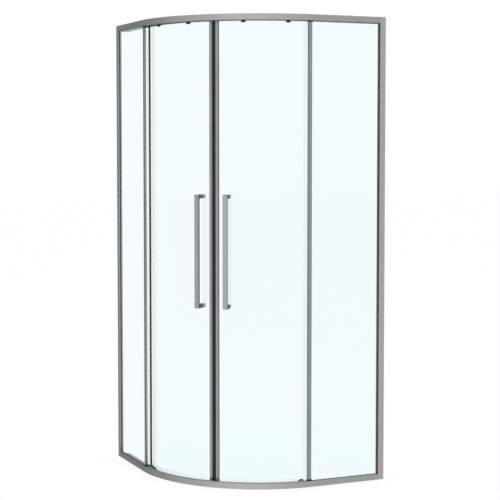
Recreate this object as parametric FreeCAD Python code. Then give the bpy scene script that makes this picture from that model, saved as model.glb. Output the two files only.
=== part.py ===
import FreeCAD, Part
import math
import os

# A corner shower enclosure: two flat fixed panels, two curved sliding doors and two bent rails.
# Millimetres. The floor is Z = 0 and the room's corner lies at +X +Y. The right-hand half is
# modelled and mirrored. Along is the distance from the wall, inset the depth behind the outer face.

# The whole enclosure
WIDTH = 886.0
HEIGHT = 1950.0
BEND_RADIUS = 550.0
GLASS = 6.0

# Aluminium sections
WALL = 1.6
LIP_SKIN = 1.4
EDGE = 0.8
LIP = 5.5
GASKET = 1.5
RAIL_HEIGHT = 25.0
STILE_WIDTH = 26.0
STILE_REAR = 4.0
STILE_WEB = 10.4
STILE_LEG_START = 1.0
CHANNEL_DEPTH = 9.8
SLIDE = 0.3
FIT = 0.1
CAP = 1.6
CAP_GAP = 0.4

# The track in the top rail and the gutter in the bottom rail
DOOR_INSET = 38.0
TRACK_HALF = 18.0
SLOT = 15.0
SILL = 7.0
PORT_TOP = 10.0
PORT_HEIGHT = 5.8
PORT_RADIUS = 2.0

# Fixed panels
GLASS_START = 13.0
GLASS_SEAT = 12.0
GASKET_GRIP = 9.0
GASKET_PROUD = 1.6
BLOCK_SHARES = (0.27, 0.8)
BLOCK_LENGTH = 30.0
STRIP_WIDTH = 16.0
STRIP_SKIN = 1.0
STRIP_REACH = 20.0
STRIP_WEB = 2.7
END_BLOCK_OVER = 3.0
END_BLOCK_HEIGHT = 6.0
END_BLOCK_LIP = 0.9
PLUG_DEPTH = 11.0
PLUG_LENGTH = 4.5
PLUG_ROOM = 0.8
INFILL_SKIN = 1.2
INFILL_LEG = 7.0
INFILL_START = 3.2
INFILL_FIT = 0.3

# Doors
DOOR_BOTTOM = 11.0
DOOR_TOP_GAP = 4.0
PROFILE_TOP_GAP = 1.5
TRAIL_WIDTH = 7.5
TRAIL_WEB = 2.5
LEAD_WIDTH = 12.0
LEAD_WEB = 4.0
LEAD_PROUD = 4.5
PROFILE_SKIN = 2.5
MAGNET = 8.0
MEETING_GAP = 0.2
MAGNET_SHY = 0.4
GROOVE_DEPTH = 2.4
GROOVE_MOUTH = 0.8
GROOVE_WIDE = 5.0
GROOVE_NARROW = 3.0

# Seals between a door and its fixed panel
SEAL_SKIN = 1.2
SEAL_BASE = 5.5
FIXED_FIN_PLAY = 0.8
FIXED_FIN_LEAN = 2.6
DOOR_FIN_TIP = 17.0
SEAL_TOP_GAP = 17.0

# Door handles
HANDLE_ANGLE = 38.5
HANDLE_BOTTOM = 744.0
HANDLE_LENGTH = 470.0
HANDLE_WIDTH = 20.0
HANDLE_BAR = 10.0
HANDLE_FOOT = 16.0
HANDLE_REACH = 43.0
HANDLE_EDGE = 1.0
WASHER = 1.2
PAD = 10.0
BUSH_HOLE = 5.0
BUSH_BORE = 2.7
HANDLE_SCREW = 2.5
HANDLE_THREAD = 14.0
HANDLE_HEAD = 4.2
HEAD_HEIGHT = 4.0

# Hangers and rollers
HANGER_ANGLES = (10.5, 31.2)
CLAMP_LENGTH = 18.0
CLAMP_SKIN = 2.4
CLAMP_DROP = 4.0
STEM_LENGTH = 12.0
STEM_THICK = 4.0
WHEEL_RADIUS = 10.0
WHEEL_WIDTH = 4.0
WHEEL_OFFSET = 9.8
HUB_RADIUS = 4.0
AXLE_RADIUS = 2.0
AXLE_HEAD = 3.2
AXLE_HEAD_WIDTH = 0.8
RUN = 0.2
BORE_PLAY = 0.05
WHEEL_CHAMFER = 0.6
FOOT_ROLLER_ANGLE = 4.2
FOOT_ROLLER_RADIUS = 14.0
FOOT_ROLLER_WIDTH = 6.0
FOOT_ROLLER_INSET = 28.5
FOOT_HUB_RADIUS = 10.0
FOOT_LIFT = 0.4
SHOE_LENGTH = 22.0
SHOE_HEIGHT = 22.0
SHOE_UNDER = 2.4
GUIDE_ANGLE = 41.2
GUIDE_LENGTH = 20.0
GUIDE_TOP = 14.0
GUIDE_LIFT = 0.6
GUIDE_SKIN = 2.0

# Door travel: each door turns by this much about an axis behind the bend's own axis
DOOR_TURN = 20.0
PIVOT_BEHIND = 112.5
PIVOT_TO_WALL = 30.5
STOP_LENGTH = 16.0
STOP_GAP = 0.6
STOP_TALL = 16.0

# Fasteners
WALL_HOLE = 2.6
WALL_HOLE_END = 150.0
FIX_END = 250.0
FIX_ALONG = 5.7
FIX_RADIUS = 1.75
FIX_LENGTH = 9.0
FIX_HEAD = 3.5
FIX_HEAD_HEIGHT = 2.2
COVER_RADIUS = 5.0
COVER_HEIGHT = 3.4
COVER_SKIN = 0.8
RAIL_SCREW_LENGTH = 32.0
RAIL_SCREW_HEAD = 4.0
RAIL_SCREW_HEAD_HEIGHT = 2.4

# Sizes that follow from those above
HALF = WIDTH / 2
STRAIGHT = WIDTH - BEND_RADIUS
UP = FreeCAD.Vector(0, 0, 1)
INWARD = FreeCAD.Vector(0, 1, 0)
OUTWARD = FreeCAD.Vector(0, -1, 0)
FROM_WALL = FreeCAD.Vector(-1, 0, 0)
BEND_AXIS = FreeCAD.Vector(HALF - STRAIGHT, HALF - STRAIGHT, 0)
POCKET_FRONT = LIP
POCKET_BACK = LIP + GLASS + 2 * GASKET
WEB_BACK = POCKET_BACK + WALL
STILE_DEPTH = POCKET_BACK + LIP
FIXED_FRONT = POCKET_FRONT + GASKET
FIXED_BACK = FIXED_FRONT + GLASS
FIXED_MIDDLE = FIXED_FRONT + GLASS / 2
RAIL_DEPTH = DOOR_INSET + TRACK_HALF + WALL
RAIL_INNER = DOOR_INSET + TRACK_HALF
RAIL_START = CAP + CAP_GAP
SLOT_FRONT = DOOR_INSET - SLOT / 2
SLOT_BACK = DOOR_INSET + SLOT / 2
DOOR_FRONT = DOOR_INSET - GLASS / 2
DOOR_BACK = DOOR_INSET + GLASS / 2
DOOR_RADIUS = BEND_RADIUS - DOOR_INSET
FIXED_FIN_TIP = DOOR_FRONT - PROFILE_SKIN - SEAL_SKIN - FIXED_FIN_PLAY
TRACK_FLOOR = HEIGHT - RAIL_HEIGHT + WALL
RAIL_UNDERSIDE = HEIGHT - RAIL_HEIGHT
DOOR_TOP = RAIL_UNDERSIDE - DOOR_TOP_GAP
PROFILE_TOP = RAIL_UNDERSIDE - PROFILE_TOP_GAP
GLASS_TOP = HEIGHT - GLASS_SEAT
STRIP_END = STRAIGHT + STRIP_REACH
STRIP_START = STRIP_END - STRIP_WIDTH
STRIP_BOTTOM = RAIL_HEIGHT + END_BLOCK_HEIGHT
STRIP_TOP = HEIGHT - STRIP_BOTTOM
END_BLOCK_START = STRIP_START - END_BLOCK_OVER
END_BLOCK_END = STRIP_END + END_BLOCK_OVER
AXLE_HEIGHT = TRACK_FLOOR + RUN + WHEEL_RADIUS
FOOT_AXLE_HEIGHT = WALL + FOOT_LIFT + FOOT_ROLLER_RADIUS
WALL_HOLE_SPACINGS = (HEIGHT - 2 * WALL_HOLE_END, (HEIGHT - 2 * WALL_HOLE_END) / 3)
FIX_HEIGHTS = (FIX_END, HEIGHT / 2, HEIGHT - FIX_END)
MEETING = 45.0


def spot(along, inset, height):
    """The point of the right-hand half at these distances from its wall, outer face and floor."""
    return FreeCAD.Vector(HALF - along, inset - HALF, height)


def block(along, inset, height):
    """A box between three pairs of limits."""
    corner = spot(along[1], inset[0], height[0])
    return Part.makeBox(along[1] - along[0], inset[1] - inset[0], height[1] - height[0], corner)


def rod(start, direction, length, radius):
    """A round bar from a point along a direction."""
    return Part.makeCylinder(radius, length, start, direction)


def contour(corners, place):
    """A closed wire through corners (a, b) or (a, b, radius), each put in space by place."""
    flat = [FreeCAD.Vector(corner[0], corner[1], 0) for corner in corners]
    bends = []
    for index, corner in enumerate(corners):
        point = flat[index]
        radius = corner[2] if len(corner) > 2 else 0.0
        before = (flat[index - 1] - point).normalize()
        after = (flat[(index + 1) % len(flat)] - point).normalize()
        half_angle = before.getAngle(after) / 2
        run = radius / math.tan(half_angle)
        rise = radius / math.sin(half_angle) - radius
        middle = point + (before + after).normalize() * rise if radius else point
        bends.append((radius, point + before * run, middle, point + after * run))
    edges = []
    for index, (radius, start, middle, end) in enumerate(bends):
        if radius:
            spots = [place(point.x, point.y) for point in (start, middle, end)]
            edges.append(Part.Arc(*spots).toShape())
        following = bends[(index + 1) % len(bends)][1]
        edges.append(Part.makeLine(place(end.x, end.y), place(following.x, following.y)))
    return Part.Wire(edges)


def filled(wires):
    """A flat face inside the first wire and outside the others."""
    return Part.makeFace(wires, "Part::FaceMakerBullseye")


def upright(loops, height):
    """A vertical extrusion of loops given as (along, inset)."""
    wires = [contour(loop, lambda along, inset: spot(along, inset, height[0])) for loop in loops]
    return filled(wires).extrude(UP * (height[1] - height[0]))


def around_front(loops, port=None, top=False):
    """A rail: loops given as (inset, depth from its outer face), run along both panels and the bend."""

    def place(inset, depth):
        return spot(STRAIGHT, inset, HEIGHT - depth if top else depth)

    wires = [contour(loop, place) for loop in loops]
    if port:
        circle = Part.makeCircle(PORT_RADIUS, place(*port), FreeCAD.Vector(1, 0, 0))
        wires.append(Part.Wire([circle]))
    face = filled(wires)
    straight = face.extrude(FreeCAD.Vector(STRAIGHT - RAIL_START, 0, 0))
    bend = face.revolve(BEND_AXIS, UP, -90)
    return straight.fuse([bend, mirrored(straight)]).removeSplitter()


def ring(inset, height, angles):
    """A piece of curved sheet between two angles from the right-hand end of the bend."""
    corners = [(inset[0], height[0]), (inset[1], height[0]), (inset[1], height[1]), (inset[0], height[1])]
    face = filled([contour(corners, lambda depth, z: spot(STRAIGHT, depth, z))])
    return turned(face, angles[0]).revolve(BEND_AXIS, UP, angles[0] - angles[1])


def turned(shape, angle):
    """A shape made at the start of the bend, carried round the bend by an angle in degrees."""
    moved = shape.copy()
    moved.rotate(BEND_AXIS, UP, -angle)
    return moved


def mirrored(shape):
    """The left-hand twin of a right-hand shape."""
    return shape.mirror(FreeCAD.Vector(0, 0, 0), FreeCAD.Vector(1, -1, 0))


def eased(shape, radius, chosen):
    """A shape with the edges rounded whose middle point passes the test."""
    edges = [edge for edge in shape.Edges if chosen(edge.CenterOfMass)]
    return shape.makeFillet(radius, edges)


def at_meeting(distance):
    """The angle of a point on the door's middle surface this far from the line where the doors meet."""
    return MEETING - math.degrees(distance / DOOR_RADIUS)


def save(name, *solids):
    """Write one node, a single solid or a group of them."""
    shape = solids[0] if len(solids) == 1 else Part.makeCompound(list(solids))
    shape.exportStep(os.path.join("parts", name + ".step"))


def save_pair(name, *solids):
    """Write a right-hand node and its left-hand twin."""
    save(name + "_right", *solids)
    save(name + "_left", *[mirrored(solid) for solid in solids])


def save_both(name, *solids):
    """Write one node that holds the right-hand solids and their left-hand twins."""
    save(name, *solids, *[mirrored(solid) for solid in solids])


os.makedirs("parts", exist_ok=True)

# Wall channels: U sections screwed to the walls, with open holes for the wall screws
channel_front = WALL + SLIDE
channel_back = STILE_DEPTH - WALL - SLIDE
channel = upright([[
    (0, channel_front),
    (CHANNEL_DEPTH, channel_front),
    (CHANNEL_DEPTH, channel_front + WALL),
    (WALL, channel_front + WALL),
    (WALL, channel_back - WALL),
    (CHANNEL_DEPTH, channel_back - WALL),
    (CHANNEL_DEPTH, channel_back),
    (0, channel_back),
]], (0, HEIGHT - CAP))
for spacing in WALL_HOLE_SPACINGS:
    for side in (-1, 1):
        start = spot(-WALL, FIXED_MIDDLE, HEIGHT / 2 + side * spacing / 2)
        channel = channel.cut(rod(start, FROM_WALL, 3 * WALL, WALL_HOLE))
for height in FIX_HEIGHTS:
    start = spot(FIX_ALONG, STILE_DEPTH, height)
    channel = channel.cut(rod(start, OUTWARD, FIX_LENGTH, FIX_RADIUS))
save_pair("wall_channel", channel)

# Side stiles: hollow posts that slide over the wall channels and hold the fixed glass. The leg behind
# the glass is longer than the one before it, and is notched at both ends to clear the rails.
stile_floor = STILE_WEB + WALL
rear_edge = STILE_WIDTH + STILE_REAR
stile = upright([
    [
        (STILE_LEG_START, 0),
        (STILE_WIDTH, 0, EDGE),
        (STILE_WIDTH, POCKET_FRONT, EDGE),
        (stile_floor, POCKET_FRONT),
        (stile_floor, POCKET_BACK),
        (rear_edge, POCKET_BACK, EDGE),
        (rear_edge, STILE_DEPTH, EDGE),
        (STILE_LEG_START, STILE_DEPTH),
        (STILE_LEG_START, STILE_DEPTH - WALL),
        (STILE_WEB, STILE_DEPTH - WALL),
        (STILE_WEB, WALL),
        (STILE_LEG_START, WALL),
    ],
    [
        (stile_floor, WALL),
        (STILE_WIDTH - WALL, WALL),
        (STILE_WIDTH - WALL, LIP - LIP_SKIN),
        (stile_floor, LIP - LIP_SKIN),
    ],
    [
        (stile_floor, POCKET_BACK + LIP_SKIN),
        (rear_edge - WALL, POCKET_BACK + LIP_SKIN),
        (rear_edge - WALL, STILE_DEPTH - WALL),
        (stile_floor, STILE_DEPTH - WALL),
    ],
], (0, HEIGHT - CAP))
rear_room = (POCKET_BACK - FIT, STILE_DEPTH + FIT)
for rail_room in ((0, RAIL_HEIGHT + FIT), (RAIL_UNDERSIDE - FIT, HEIGHT)):
    stile = stile.cut(block((STILE_WIDTH, rear_edge + FIT), rear_room, rail_room))
port_heights = (PORT_HEIGHT, HEIGHT - PORT_HEIGHT)
for height in port_heights:
    start = spot(STILE_WEB - WALL, FIXED_MIDDLE, height)
    stile = stile.cut(rod(start, FROM_WALL, 3 * WALL, PORT_RADIUS + FIT))
for height in FIX_HEIGHTS:
    start = spot(FIX_ALONG, STILE_DEPTH + WALL, height)
    stile = stile.cut(rod(start, OUTWARD, 2 * WALL, FIX_RADIUS + FIT))
save_pair("side_stile", stile)

# Caps on the stiles' top ends, each with a tongue that drops into the wall channel
cap_plate = upright([[
    (0, 0),
    (STILE_WIDTH, 0, EDGE),
    (STILE_WIDTH, STILE_DEPTH, EDGE),
    (0, STILE_DEPTH),
]], (HEIGHT - CAP, HEIGHT))
tongue_inset = (channel_front + WALL + SLIDE, channel_back - WALL - SLIDE)
tongue = block((WALL + SLIDE, FIX_ALONG), tongue_inset, (HEIGHT - 4 * CAP, HEIGHT - CAP))
save_both("stile_top_caps", cap_plate.fuse(tongue))

# Screws that fix each stile to its wall channel from inside, under snap-on covers
screws = []
covers = []
for height in FIX_HEIGHTS:
    seat = spot(FIX_ALONG, STILE_DEPTH, height)
    shank = rod(seat, OUTWARD, FIX_LENGTH - WALL, FIX_RADIUS)
    head = rod(seat, INWARD, FIX_HEAD_HEIGHT, FIX_HEAD)
    screws.append(shank.fuse(head).removeSplitter())
    shell = rod(seat, INWARD, COVER_HEIGHT, COVER_RADIUS)
    rim = STILE_DEPTH + COVER_HEIGHT
    shell = eased(shell, EDGE, lambda middle: abs(middle.y - (rim - HALF)) < FIT)
    room = rod(seat, INWARD, COVER_HEIGHT - COVER_SKIN, FIX_HEAD + FIT)
    covers.append(shell.cut(room))
save_both("stile_fixing_screws", *screws)
save_both("stile_screw_covers", *covers)

# Rails: one bent length at the top with the roller track, one at the bottom with the gutter
lip_cell = [
    (WALL, WALL),
    (LIP - LIP_SKIN, WALL),
    (LIP - LIP_SKIN, RAIL_HEIGHT - WALL),
    (WALL, RAIL_HEIGHT - WALL),
]
pocket_side = [
    (POCKET_BACK, RAIL_HEIGHT),
    (POCKET_BACK, PORT_TOP),
    (POCKET_FRONT, PORT_TOP),
    (POCKET_FRONT, RAIL_HEIGHT, EDGE),
    (0, RAIL_HEIGHT, EDGE),
    (0, 0, EDGE),
]
track_side = [
    (RAIL_DEPTH, 0, EDGE),
    (RAIL_DEPTH, RAIL_HEIGHT),
    (SLOT_BACK, RAIL_HEIGHT),
    (SLOT_BACK, RAIL_HEIGHT - WALL),
    (RAIL_INNER, RAIL_HEIGHT - WALL),
    (RAIL_INNER, WALL),
    (WEB_BACK, WALL),
    (WEB_BACK, RAIL_HEIGHT - WALL),
    (SLOT_FRONT, RAIL_HEIGHT - WALL),
    (SLOT_FRONT, RAIL_HEIGHT),
]
gutter_side = [
    (RAIL_DEPTH, 0),
    (RAIL_DEPTH, SILL),
    (RAIL_INNER, SILL),
    (RAIL_INNER, WALL),
    (WEB_BACK, WALL),
    (WEB_BACK, RAIL_HEIGHT),
]
port = (FIXED_MIDDLE, PORT_HEIGHT)
notch = block((0, STILE_WIDTH), (-WALL, STILE_DEPTH + SLIDE), (-WALL, HEIGHT + WALL))
top_rail = around_front([pocket_side + track_side, lip_cell], port, top=True)
bottom_rail = around_front([pocket_side + gutter_side, lip_cell], port)
save("top_rail", top_rail.cut(notch).cut(mirrored(notch)))
save("bottom_rail", bottom_rail.cut(notch).cut(mirrored(notch)))

# Caps that close the rails' ends beside the wall
cap_inset = (STILE_DEPTH + SLIDE, RAIL_DEPTH)
top_cap = block((CAP_GAP, RAIL_START), cap_inset, (RAIL_UNDERSIDE, HEIGHT))
bottom_cap = block((CAP_GAP, RAIL_START), cap_inset, (CAP_GAP, SILL))
save_both("rail_end_caps", top_cap, bottom_cap)

# Long screws through each stile's web into the rails' screw ports
rail_screws = []
for height in port_heights:
    seat = spot(STILE_WEB, FIXED_MIDDLE, height)
    shank = rod(seat, FROM_WALL, RAIL_SCREW_LENGTH, PORT_RADIUS - BORE_PLAY)
    head = rod(seat, -FROM_WALL, RAIL_SCREW_HEAD_HEIGHT, RAIL_SCREW_HEAD)
    rail_screws.append(shank.fuse(head).removeSplitter())
save_both("rail_joint_screws", *rail_screws)

# Snap-in strips that close the empty glass pocket round the bend
infill = [
    (POCKET_FRONT + INFILL_FIT, RAIL_HEIGHT),
    (POCKET_BACK - INFILL_FIT, RAIL_HEIGHT),
    (POCKET_BACK - INFILL_FIT, RAIL_HEIGHT - INFILL_LEG),
    (POCKET_BACK - INFILL_FIT - INFILL_SKIN, RAIL_HEIGHT - INFILL_LEG),
    (POCKET_BACK - INFILL_FIT - INFILL_SKIN, RAIL_HEIGHT - INFILL_SKIN),
    (POCKET_FRONT + INFILL_FIT + INFILL_SKIN, RAIL_HEIGHT - INFILL_SKIN),
    (POCKET_FRONT + INFILL_FIT + INFILL_SKIN, RAIL_HEIGHT - INFILL_LEG),
    (POCKET_FRONT + INFILL_FIT, RAIL_HEIGHT - INFILL_LEG),
]
for name, base, sign in (("bottom", 0, 1), ("top", HEIGHT, -1)):
    face = filled([contour(infill, lambda inset, depth: spot(STRAIGHT, inset, base + sign * depth))])
    strip = turned(face, INFILL_START).revolve(BEND_AXIS, UP, 2 * INFILL_START - 90)
    save(name + "_pocket_infill", strip)

# Fixed panels: flat glass in the stile and the rails, on two setting blocks
glass_end = STRIP_END - STRIP_WEB - FIT
fixed_inset = (FIXED_FRONT, FIXED_BACK)
save_pair("fixed_glass", block((GLASS_START, glass_end), fixed_inset, (GLASS_SEAT, GLASS_TOP)))
setting = []
for share in BLOCK_SHARES:
    block_span = (share * STRAIGHT - BLOCK_LENGTH / 2, share * STRAIGHT + BLOCK_LENGTH / 2)
    setting.append(block(block_span, fixed_inset, (PORT_TOP, GLASS_SEAT)))
save_both("glass_setting_blocks", *setting)

# Gaskets in front of and behind the fixed glass, along the stile and both rails
gaskets = []
for leg_end, inset in ((STILE_WIDTH, (POCKET_FRONT, FIXED_FRONT)), (rear_edge, (FIXED_BACK, POCKET_BACK))):
    gasket_end = leg_end + GASKET_PROUD
    post = block((GLASS_START, gasket_end), inset, (RAIL_HEIGHT, RAIL_UNDERSIDE))
    low = (RAIL_HEIGHT - GASKET_GRIP, RAIL_HEIGHT + GASKET_PROUD)
    high = (RAIL_UNDERSIDE - GASKET_PROUD, RAIL_UNDERSIDE + GASKET_GRIP)
    span = (gasket_end, STRAIGHT - GASKET_PROUD)
    gaskets += [post, block(span, inset, low), block(span, inset, high)]
save_pair("fixed_glass_gaskets", *gaskets)

# Edge strips: U sections on the free edge of each fixed glass, standing on end blocks
strip_slot = STRIP_END - STRIP_WEB
strip_inset = (FIXED_FRONT - STRIP_SKIN, FIXED_BACK + STRIP_SKIN)
strip = upright([[
    (STRIP_START, strip_inset[0]),
    (STRIP_END, strip_inset[0], EDGE),
    (STRIP_END, strip_inset[1], EDGE),
    (STRIP_START, strip_inset[1]),
    (STRIP_START, FIXED_BACK + FIT),
    (strip_slot, FIXED_BACK + FIT),
    (strip_slot, FIXED_FRONT - FIT),
    (STRIP_START, FIXED_FRONT - FIT),
]], (STRIP_BOTTOM, STRIP_TOP))
save_pair("fixed_edge_strip", strip)

# End blocks between the edge strips and the rails, each with a plug down into the pocket
sheet_room = block((0, glass_end + FIT), (FIXED_FRONT - FIT, FIXED_BACK + FIT), (0, HEIGHT))
end_blocks = []
for low, high, plug_low, plug_high in (
    (RAIL_HEIGHT, STRIP_BOTTOM, RAIL_HEIGHT - PLUG_DEPTH, RAIL_HEIGHT),
    (STRIP_TOP, RAIL_UNDERSIDE, RAIL_UNDERSIDE, RAIL_UNDERSIDE + PLUG_DEPTH),
):
    over = (strip_inset[0] - END_BLOCK_LIP, strip_inset[1] + END_BLOCK_LIP)
    body = block((END_BLOCK_START, END_BLOCK_END), over, (low, high))
    plug_inset = (POCKET_FRONT + PLUG_ROOM, POCKET_BACK - FIT)
    plug = block((END_BLOCK_END - PLUG_LENGTH, END_BLOCK_END), plug_inset, (plug_low, plug_high))
    end_blocks.append(body.cut(sheet_room).fuse(plug).removeSplitter())
save_both("strip_end_blocks", *end_blocks)

# Clear seals: a fin on each edge strip and one on each door that close the gap between them
seal_height = (STRIP_BOTTOM + FIT, RAIL_UNDERSIDE - SEAL_TOP_GAP)
fin_root = STRIP_START + SEAL_SKIN
fixed_seal = upright([[
    (fin_root, strip_inset[1]),
    (fin_root + SEAL_BASE, strip_inset[1]),
    (fin_root + SEAL_BASE, strip_inset[1] + SEAL_SKIN),
    (fin_root + SEAL_SKIN, strip_inset[1] + SEAL_SKIN),
    (fin_root + SEAL_SKIN - FIXED_FIN_LEAN, FIXED_FIN_TIP),
    (fin_root - FIXED_FIN_LEAN, FIXED_FIN_TIP),
    (fin_root, strip_inset[1] + SEAL_SKIN),
]], seal_height)
save_pair("fixed_edge_seal", fixed_seal)

# Stops in the track: T blocks that rest on both shelves where the trailing rollers end their travel
pivot = BEND_AXIS + FreeCAD.Vector(PIVOT_TO_WALL, PIVOT_BEHIND, 0)
stop_roller = FreeCAD.Vector(0, -DOOR_RADIUS, 0)
stop_roller = FreeCAD.Rotation(UP, -HANGER_ANGLES[0]).multVec(stop_roller) + BEND_AXIS
stop_roller = FreeCAD.Rotation(UP, DOOR_TURN).multVec(stop_roller - pivot) + pivot
skew = math.radians(DOOR_TURN - HANGER_ANGLES[0])
stop_reach = WHEEL_RADIUS + (WHEEL_OFFSET + WHEEL_WIDTH / 2) * math.sin(skew)
stop_end = HALF - stop_roller.x - stop_reach - STOP_GAP
stop_span = (stop_end - STOP_LENGTH, stop_end)
stop_body = block(stop_span, (WEB_BACK + SLIDE, RAIL_INNER - SLIDE), (TRACK_FLOOR, TRACK_FLOOR + STOP_TALL))
stop_tongue = block(stop_span, (SLOT_FRONT + SLIDE, SLOT_BACK - SLIDE), (RAIL_UNDERSIDE, TRACK_FLOOR))
save_both("door_stops", stop_body.fuse(stop_tongue).removeSplitter())

# Door glass: a curved sheet with two holes for the handle
glass_angles = (math.degrees(TRAIL_WEB / DOOR_RADIUS), at_meeting(MAGNET + LEAD_WEB))
door_glass = ring((DOOR_FRONT, DOOR_BACK), (DOOR_BOTTOM, DOOR_TOP), glass_angles)
foot_heights = (
    HANDLE_BOTTOM + HANDLE_FOOT / 2,
    HANDLE_BOTTOM + HANDLE_LENGTH - HANDLE_FOOT / 2,
)
for height in foot_heights:
    hole = rod(spot(STRAIGHT, DOOR_FRONT - GLASS, height), INWARD, 3 * GLASS, BUSH_HOLE)
    door_glass = door_glass.cut(turned(hole, HANDLE_ANGLE))
save_pair("door_glass", door_glass)
door_room = ring(
    (DOOR_FRONT - FIT, DOOR_BACK + FIT),
    (DOOR_BOTTOM - FIT, DOOR_TOP + FIT),
    (glass_angles[0] - math.degrees(FIT / DOOR_RADIUS), glass_angles[1] + math.degrees(FIT / DOOR_RADIUS)),
)

# Trailing profiles: U sections on the door edges that hide behind the fixed panels
profile_inset = (DOOR_FRONT - PROFILE_SKIN, DOOR_BACK + PROFILE_SKIN)
profile_height = (DOOR_BOTTOM, PROFILE_TOP)
trail_angle = math.degrees(TRAIL_WIDTH / 2 / DOOR_RADIUS)
trail_span = (STRAIGHT - TRAIL_WIDTH / 2, STRAIGHT + TRAIL_WIDTH / 2)
trail = upright([[
    (trail_span[0], profile_inset[0], EDGE),
    (trail_span[1], profile_inset[0], EDGE),
    (trail_span[1], profile_inset[1], EDGE),
    (trail_span[0], profile_inset[1], EDGE),
]], profile_height)
trail_room = ring((DOOR_FRONT - FIT, DOOR_BACK + FIT), (0, HEIGHT), (glass_angles[0], MEETING))
save_pair("door_trailing_profile", turned(trail, trail_angle).cut(trail_room))

door_fin = trail_span[0] + EDGE
door_seal = upright([[
    (door_fin, profile_inset[0]),
    (door_fin + SEAL_BASE, profile_inset[0]),
    (door_fin + SEAL_BASE, profile_inset[0] - SEAL_SKIN),
    (door_fin + SEAL_SKIN, profile_inset[0] - SEAL_SKIN),
    (door_fin + SEAL_SKIN, DOOR_FIN_TIP),
    (door_fin, DOOR_FIN_TIP),
]], seal_height)
save_pair("door_trailing_seal", turned(door_seal, trail_angle))

# Leading profiles and the magnetic seals that slide into their grooves
lead_end = STRAIGHT - MAGNET
lead_span = (lead_end - LEAD_WIDTH, lead_end)
lead_inset = (DOOR_FRONT - LEAD_PROUD, profile_inset[1] + SLIDE)
lead_middle = DOOR_INSET
lead = upright([[
    (lead_span[0], lead_inset[0], EDGE),
    (lead_span[1], lead_inset[0], EDGE),
    (lead_span[1], lead_middle - GROOVE_NARROW / 2),
    (lead_span[1] - GROOVE_MOUTH, lead_middle - GROOVE_NARROW / 2),
    (lead_span[1] - GROOVE_MOUTH, lead_middle - GROOVE_WIDE / 2),
    (lead_span[1] - GROOVE_DEPTH, lead_middle - GROOVE_WIDE / 2),
    (lead_span[1] - GROOVE_DEPTH, lead_middle + GROOVE_WIDE / 2),
    (lead_span[1] - GROOVE_MOUTH, lead_middle + GROOVE_WIDE / 2),
    (lead_span[1] - GROOVE_MOUTH, lead_middle + GROOVE_NARROW / 2),
    (lead_span[1], lead_middle + GROOVE_NARROW / 2),
    (lead_span[1], lead_inset[1], EDGE),
    (lead_span[0], lead_inset[1], EDGE),
]], profile_height)
lead_room = ring((DOOR_FRONT - FIT, DOOR_BACK + FIT), (0, HEIGHT), (0, glass_angles[1]))
save_pair("door_leading_profile", turned(lead, MEETING).cut(lead_room))

magnet_face = STRAIGHT - MEETING_GAP
tongue_wide = GROOVE_WIDE / 2 - FIT
tongue_narrow = GROOVE_NARROW / 2 - FIT
magnet = upright([[
    (lead_end, lead_inset[0] + MAGNET_SHY),
    (magnet_face, lead_inset[0] + MAGNET_SHY, EDGE),
    (magnet_face, profile_inset[1] - MAGNET_SHY, EDGE),
    (lead_end, profile_inset[1] - MAGNET_SHY),
    (lead_end, lead_middle + tongue_narrow),
    (lead_end - GROOVE_MOUTH - FIT, lead_middle + tongue_narrow),
    (lead_end - GROOVE_MOUTH - FIT, lead_middle + tongue_wide),
    (lead_end - GROOVE_DEPTH + FIT, lead_middle + tongue_wide),
    (lead_end - GROOVE_DEPTH + FIT, lead_middle - tongue_wide),
    (lead_end - GROOVE_MOUTH - FIT, lead_middle - tongue_wide),
    (lead_end - GROOVE_MOUTH - FIT, lead_middle - tongue_narrow),
    (lead_end, lead_middle - tongue_narrow),
]], profile_height)
save_pair("door_magnet_seal", turned(magnet, MEETING))

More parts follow.
